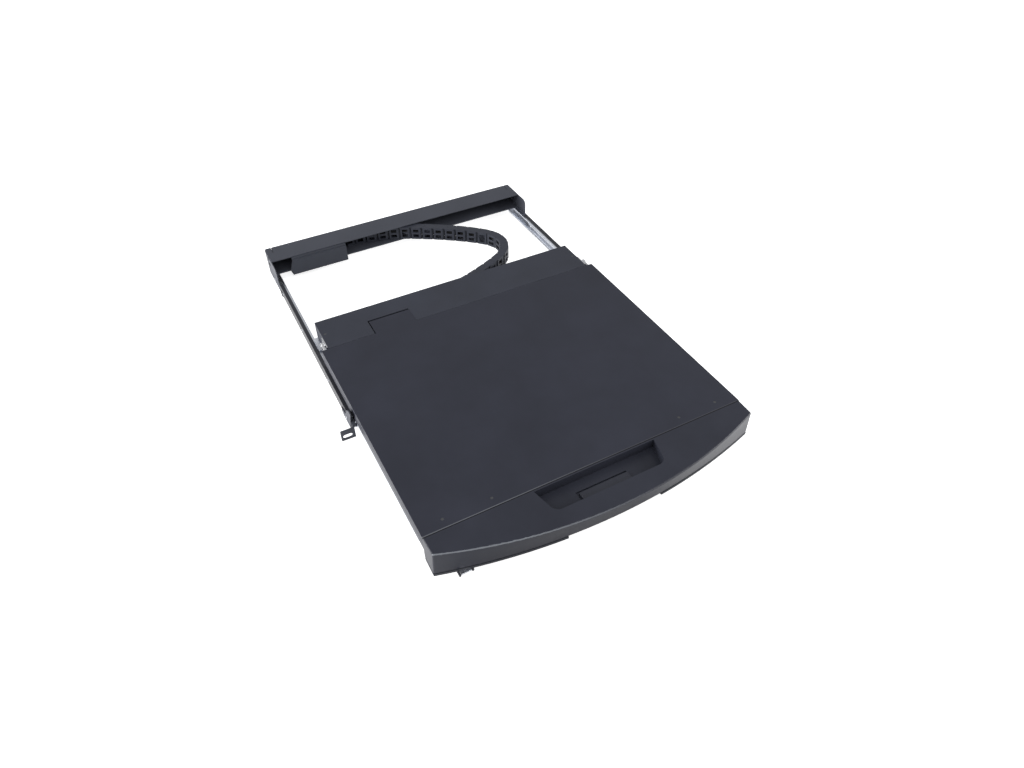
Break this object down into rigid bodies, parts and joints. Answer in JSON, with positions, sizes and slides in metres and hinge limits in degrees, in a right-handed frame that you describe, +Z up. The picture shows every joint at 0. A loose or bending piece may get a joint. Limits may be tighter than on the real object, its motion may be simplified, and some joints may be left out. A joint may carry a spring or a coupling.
{
  "type": "rackmount console drawer",
  "caption": "Flat rack drawer with a hinged display lid over a keyboard tray, on telescopic slides, with a cable chain to its rear crossbar.",
  "frame": {"origin": "middle of the rack mounting plane, which is the rear face of the two slotted ears, at the height of the slots", "axes": "+X right, +Y to the rear of the rack, +Z up; the drawer is stored partly pulled out with its lid closed"},
  "size_m": [0.4824, 0.6935, 0.044],
  "materials": {
    "charcoal_paint": "fine textured powder coat, semi-matt",
    "black_steel": "black zinc finish, satin",
    "zinc_steel": "bright zinc plate, satin",
    "bright_steel": "bright steel",
    "screw_steel": "black countersunk screws",
    "bezel_paint": "smooth semi-matt paint",
    "latch_plastic": "black moulded plastic",
    "chain_plastic": "black polyamide links",
    "cable_jacket": "black cable jacket",
    "key_plastic": "black keycaps, finely textured",
    "base_plastic": "black moulded plastic",
    "screen": "dark unlit display surface",
    "circuit_board": "green solder mask"
  },
  "bodies": {
    "frame": {"outer_rail_left": "black_steel", "outer_rail_right": "black_steel", "cabinet_member_left": "zinc_steel", "cabinet_member_right": "zinc_steel", "front_bracket_left": "charcoal_paint", "front_bracket_right": "charcoal_paint", "rear_bracket_left": "black_steel", "rear_bracket_right": "black_steel", "rear_crossbar": "charcoal_paint", "chain_cover": "charcoal_paint", "rail_rivets": "zinc_steel", "rail_end_caps": "base_plastic", "crossbar_screws": "screw_steel", "chain_anchor_fixed": "chain_plastic", "chain_links": "chain_plastic", "chain_cable": "cable_jacket", "rear_connector": "base_plastic"},
    "mid_slides": {"mid_member_left": "zinc_steel", "mid_member_right": "zinc_steel", "ball_cages_left": "bright_steel", "ball_cages_right": "bright_steel"},
    "drawer": {"keyboard_tray": "charcoal_paint", "tray_front": "charcoal_paint", "keyboard_deck": "charcoal_paint", "keyboard_plate": "base_plastic", "touchpad": "latch_plastic", "rear_housing_cover": "charcoal_paint", "rear_panel": "charcoal_paint", "control_board": "circuit_board", "board_standoffs": "zinc_steel", "housing_screws": "screw_steel", "drawer_member_left": "zinc_steel", "drawer_member_right": "zinc_steel", "hinge_mount_left": "bright_steel", "hinge_mount_right": "bright_steel", "hinge_pins": "bright_steel", "chain_anchor_moving": "chain_plastic"},
    "release_catch": {"release_catch": "black_steel"},
    "lid": {"lid_cover": "charcoal_paint", "front_bezel": "bezel_paint", "lcd_frame": "bezel_paint", "lcd_panel": "screen", "lcd_back_tray": "zinc_steel", "lid_screws": "screw_steel", "hinge_arm_left": "bright_steel", "hinge_arm_right": "bright_steel"},
    "handle_latch": {"handle_latch": "latch_plastic"},
    "keys": {"keycaps": "key_plastic"},
    "space_bar": {"space_bar": "key_plastic"},
    "touchpad_button_left": {"touchpad_button_left": "latch_plastic"},
    "touchpad_button_right": {"touchpad_button_right": "latch_plastic"},
    "slide_lever_left": {"slide_lever_left": "zinc_steel"},
    "slide_lever_right": {"slide_lever_right": "zinc_steel"},
    "osd_button_1": {"osd_button_1": "latch_plastic"},
    "osd_button_2": {"osd_button_2": "latch_plastic"},
    "osd_button_3": {"osd_button_3": "latch_plastic"},
    "osd_button_4": {"osd_button_4": "latch_plastic"}
  },
  "joints": [
    {"name": "drawer_slide", "type": "slide", "parent": "frame", "child": "drawer", "axis": [0, -1, 0], "range_m": [-0.1, 0.16], "deforming": ["chain_links", "chain_cable"]},
    {"name": "slide_mid", "type": "slide", "parent": "frame", "child": "mid_slides", "axis": [0, -1, 0], "range_m": [-0.05, 0.08]},
    {"name": "lid_hinge", "type": "hinge", "parent": "drawer", "child": "lid", "pos_m": [0, 0.1441, 0.0329], "axis": [-1, 0, 0], "range_deg": [0, 110]},
    {"name": "handle_latch", "type": "slide", "parent": "lid", "child": "handle_latch", "axis": [0, -1, 0], "range_m": [0, 0.0025], "stiffness_N_per_m": 400, "springref_m": -0.003},
    {"name": "key_press", "type": "slide", "parent": "drawer", "child": "keys", "axis": [0, 0, -1], "range_m": [0, 0.002], "stiffness_N_per_m": 6000, "springref_m": -0.002},
    {"name": "space_bar", "type": "slide", "parent": "drawer", "child": "space_bar", "axis": [0, 0, -1], "range_m": [0, 0.002], "stiffness_N_per_m": 300, "springref_m": -0.002},
    {"name": "touchpad_button_left", "type": "slide", "parent": "drawer", "child": "touchpad_button_left", "axis": [0, 0, -1], "range_m": [0, 0.0008], "stiffness_N_per_m": 800, "springref_m": -0.001},
    {"name": "touchpad_button_right", "type": "slide", "parent": "drawer", "child": "touchpad_button_right", "axis": [0, 0, -1], "range_m": [0, 0.0008], "stiffness_N_per_m": 800, "springref_m": -0.001},
    {"name": "release_catch", "type": "slide", "parent": "drawer", "child": "release_catch", "axis": [0, 1, 0], "range_m": [0, 0.003], "stiffness_N_per_m": 600, "springref_m": -0.002},
    {"name": "slide_lever_left", "type": "slide", "parent": "drawer", "child": "slide_lever_left", "axis": [0, 1, 0], "range_m": [0, 0.003], "stiffness_N_per_m": 600, "springref_m": -0.002},
    {"name": "slide_lever_right", "type": "slide", "parent": "drawer", "child": "slide_lever_right", "axis": [0, 1, 0], "range_m": [0, 0.003], "stiffness_N_per_m": 600, "springref_m": -0.002},
    {"name": "osd_button_1", "type": "slide", "parent": "lid", "child": "osd_button_1", "axis": [0, 0, 1], "range_m": [0, 0.0008], "stiffness_N_per_m": 800, "springref_m": -0.001},
    {"name": "osd_button_2", "type": "slide", "parent": "lid", "child": "osd_button_2", "axis": [0, 0, 1], "range_m": [0, 0.0008], "stiffness_N_per_m": 800, "springref_m": -0.001},
    {"name": "osd_button_3", "type": "slide", "parent": "lid", "child": "osd_button_3", "axis": [0, 0, 1], "range_m": [0, 0.0008], "stiffness_N_per_m": 800, "springref_m": -0.001},
    {"name": "osd_button_4", "type": "slide", "parent": "lid", "child": "osd_button_4", "axis": [0, 0, 1], "range_m": [0, 0.0008], "stiffness_N_per_m": 800, "springref_m": -0.001}
  ],
  "couplings": [
    {"joint": "slide_mid", "follows": "drawer_slide", "ratio": 0.5}
  ]
}
